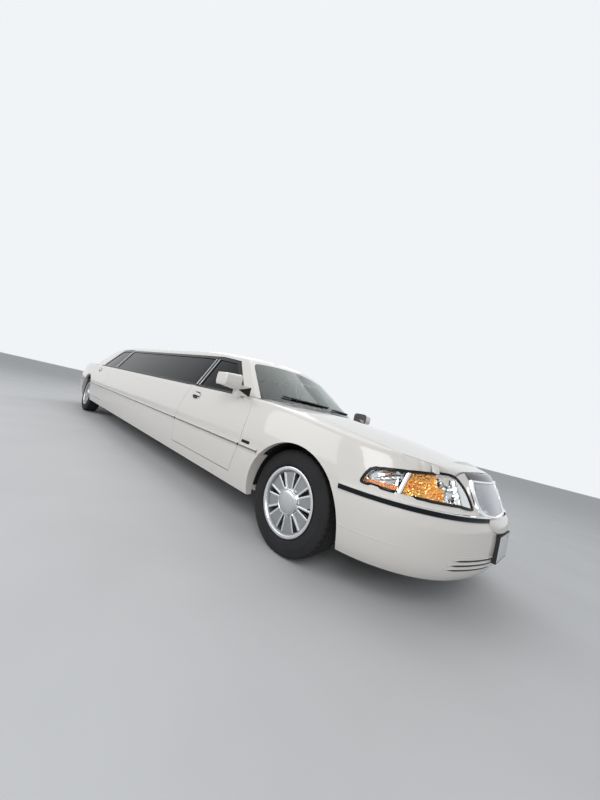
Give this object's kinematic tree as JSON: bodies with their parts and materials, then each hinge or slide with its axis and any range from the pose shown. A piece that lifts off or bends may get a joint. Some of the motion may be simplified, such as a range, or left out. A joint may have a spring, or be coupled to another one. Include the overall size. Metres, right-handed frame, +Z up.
{
  "type": "stretch limousine",
  "caption": "Long stretched passenger car with opening doors, hood and trunk lid, steered front wheels, a driver's compartment and a rear lounge cabin.",
  "frame": {"origin": "bottom centre of the bounding box, on the ground plane", "axes": "+X forward along the car, +Y to the car's left, +Z up"},
  "size_m": [8.5316, 2.28, 1.4989],
  "materials": {
    "paint": "gloss pearl",
    "black_trim": "matte",
    "chrome": "polished",
    "cast": "machined",
    "tyre": "matte",
    "tint": "tinted",
    "clear": "clear",
    "lamp": "clear",
    "red_lamp": "gloss",
    "steel": "bare",
    "frame_paint": "satin",
    "iron": "cast",
    "leather": "satin",
    "trim": "matte"
  },
  "bodies": {
    "body": {"body_side_left": "paint", "body_side_right": "paint", "chassis_frame": "frame_paint", "dashboard": "trim", "engine_block": "iron", "exhaust": "steel", "fender_left": "paint", "fender_right": "paint", "fixed_glass": "tint", "floor_and_bulkhead": "frame_paint", "front_bumper": "paint", "front_suspension": "iron", "grille": "chrome", "headlamps": "lamp", "nose_panel": "paint", "partition": "trim", "rear_axle": "iron", "rear_bumper": "paint", "rear_quarters": "paint", "roof_and_pillars": "paint", "seats": "leather", "tail_lamps": "red_lamp", "wheel_house_liners": "black_trim", "windshield": "clear"},
    "front_left_wheel": {"front_wheel_left": "cast", "front_tyre_left": "tyre"},
    "front_right_wheel": {"front_wheel_right": "cast", "front_tyre_right": "tyre"},
    "rear_left_wheel": {"rear_wheel_left": "cast", "rear_tyre_left": "tyre"},
    "rear_right_wheel": {"rear_wheel_right": "cast", "rear_tyre_right": "tyre"},
    "left_knuckle": {"knuckle_left": "iron"},
    "right_knuckle": {"knuckle_right": "iron"},
    "left_front_door": {"front_door_left": "paint", "front_door_glass_left": "tint"},
    "right_front_door": {"front_door_right": "paint", "front_door_glass_right": "tint"},
    "left_rear_door": {"rear_door_left": "paint", "rear_door_glass_left": "tint"},
    "right_rear_door": {"rear_door_right": "paint", "rear_door_glass_right": "tint"},
    "hood_panel": {"hood": "paint"},
    "trunk_panel": {"trunk_lid": "paint"},
    "steering_wheel_body": {"steering_wheel": "trim"}
  },
  "joints": [
    {"name": "steer_left", "type": "hinge", "parent": "body", "child": "left_knuckle", "pos_m": [3.1885, 0.73, 0.351], "axis": [0, 0, 1], "range_deg": [-35, 35]},
    {"name": "steer_right", "type": "hinge", "parent": "body", "child": "right_knuckle", "pos_m": [3.1885, -0.73, 0.351], "axis": [0, 0, 1], "range_deg": [-35, 35]},
    {"name": "steering_wheel_turn", "type": "hinge", "parent": "body", "child": "steering_wheel_body", "pos_m": [2.2285, 0.37, 0.826], "axis": [-0.9135, 0, 0.4067], "range_deg": [-460, 460]},
    {"name": "front_left_spin", "type": "hinge", "parent": "left_knuckle", "child": "front_left_wheel", "pos_m": [3.1885, 0.805, 0.351], "axis": [0, 1, 0], "continuous": true},
    {"name": "front_right_spin", "type": "hinge", "parent": "right_knuckle", "child": "front_right_wheel", "pos_m": [3.1885, -0.805, 0.351], "axis": [0, 1, 0], "continuous": true},
    {"name": "rear_left_spin", "type": "hinge", "parent": "body", "child": "rear_left_wheel", "pos_m": [-2.8495, 0.833, 0.351], "axis": [0, 1, 0], "continuous": true},
    {"name": "rear_right_spin", "type": "hinge", "parent": "body", "child": "rear_right_wheel", "pos_m": [-2.8495, -0.833, 0.351], "axis": [0, 1, 0], "continuous": true},
    {"name": "front_left_door_swing", "type": "hinge", "parent": "body", "child": "left_front_door", "pos_m": [2.6225, 1.001, 0.7], "axis": [0, 0, -1], "range_deg": [0, 65]},
    {"name": "front_right_door_swing", "type": "hinge", "parent": "body", "child": "right_front_door", "pos_m": [2.6225, -1.001, 0.7], "axis": [0, 0, 1], "range_deg": [0, 65]},
    {"name": "rear_left_door_swing", "type": "hinge", "parent": "body", "child": "left_rear_door", "pos_m": [-1.5955, 1.001, 0.7], "axis": [0, 0, -1], "range_deg": [0, 65]},
    {"name": "rear_right_door_swing", "type": "hinge", "parent": "body", "child": "right_rear_door", "pos_m": [-1.5955, -1.001, 0.7], "axis": [0, 0, 1], "range_deg": [0, 65]},
    {"name": "hood_lift", "type": "hinge", "parent": "body", "child": "hood_panel", "pos_m": [2.5185, 0, 1], "axis": [0, -1, 0], "range_deg": [0, 55]},
    {"name": "trunk_lift", "type": "hinge", "parent": "body", "child": "trunk_panel", "pos_m": [-3.2995, 0, 1.012], "axis": [0, 1, 0], "range_deg": [0, 80]}
  ],
  "couplings": [
    {"joint": "steer_right", "follows": "steer_left", "ratio": 1},
    {"joint": "steering_wheel_turn", "follows": "steer_left", "ratio": 13}
  ]
}
